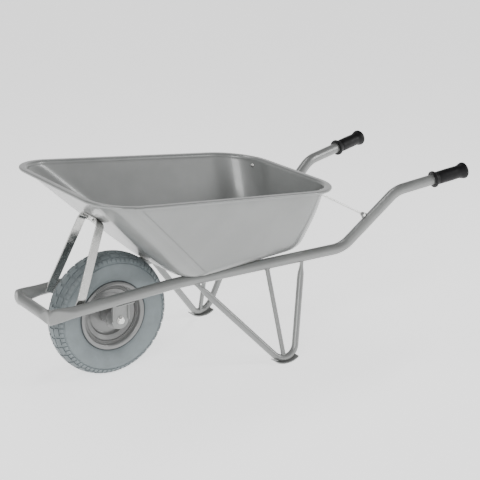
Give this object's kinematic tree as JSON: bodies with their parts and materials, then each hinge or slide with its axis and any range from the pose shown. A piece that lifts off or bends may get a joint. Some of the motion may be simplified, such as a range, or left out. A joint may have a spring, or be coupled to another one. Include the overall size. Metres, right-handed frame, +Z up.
{
  "type": "wheelbarrow",
  "caption": "Builder's wheelbarrow: deep pressed tray on a bent tube frame with V legs, a front strap and a pneumatic wheel.",
  "frame": {"origin": "on the ground under the middle of the overall box", "axes": "+X forwards to the wheel, +Y to the barrow's left, +Z up"},
  "size_m": [1.51, 0.662, 0.6455],
  "materials": {
    "frame_paint": "satin silver-grey paint",
    "tray_paint": "semi-gloss silver-grey paint",
    "rim_paint": "satin grey paint",
    "grip_black": "satin black",
    "tyre_grey": "matt grey rubber",
    "tube_rubber": "matt black rubber",
    "zinc": "bright zinc plating",
    "bearing_steel": "ground steel"
  },
  "bodies": {
    "frame": {"frame_tube": "frame_paint", "left_grip": "grip_black", "right_grip": "grip_black", "tray": "tray_paint", "front_strap": "zinc", "left_leg": "frame_paint", "right_leg": "frame_paint", "left_leg_brace": "frame_paint", "right_leg_brace": "frame_paint", "left_skid": "frame_paint", "right_skid": "frame_paint", "left_axle_bracket": "frame_paint", "right_axle_bracket": "frame_paint", "axle_bolt": "zinc", "axle_nut": "zinc", "axle_washers": "zinc", "left_axle_spacer": "zinc", "right_axle_spacer": "zinc", "left_stay_rod": "zinc", "right_stay_rod": "zinc", "left_stay_tab": "frame_paint", "right_stay_tab": "frame_paint", "stay_bolts": "zinc", "stay_nuts": "zinc", "tray_bolts": "zinc", "tray_bolt_inserts": "zinc", "strap_bolts": "zinc", "strap_nuts": "zinc"},
    "wheel": {"tyre": "tyre_grey", "inner_tube": "tube_rubber", "left_rim_half": "rim_paint", "right_rim_half": "rim_paint", "hub_tube": "rim_paint", "left_bearing": "bearing_steel", "right_bearing": "bearing_steel", "left_hub_cap": "rim_paint", "right_hub_cap": "rim_paint", "valve_stem": "tube_rubber", "valve_cap": "tube_rubber"}
  },
  "joints": [
    {"name": "wheel_spin", "type": "hinge", "parent": "frame", "child": "wheel", "pos_m": [0.485, 0, 0.2], "axis": [0, 1, 0], "continuous": true}
  ]
}
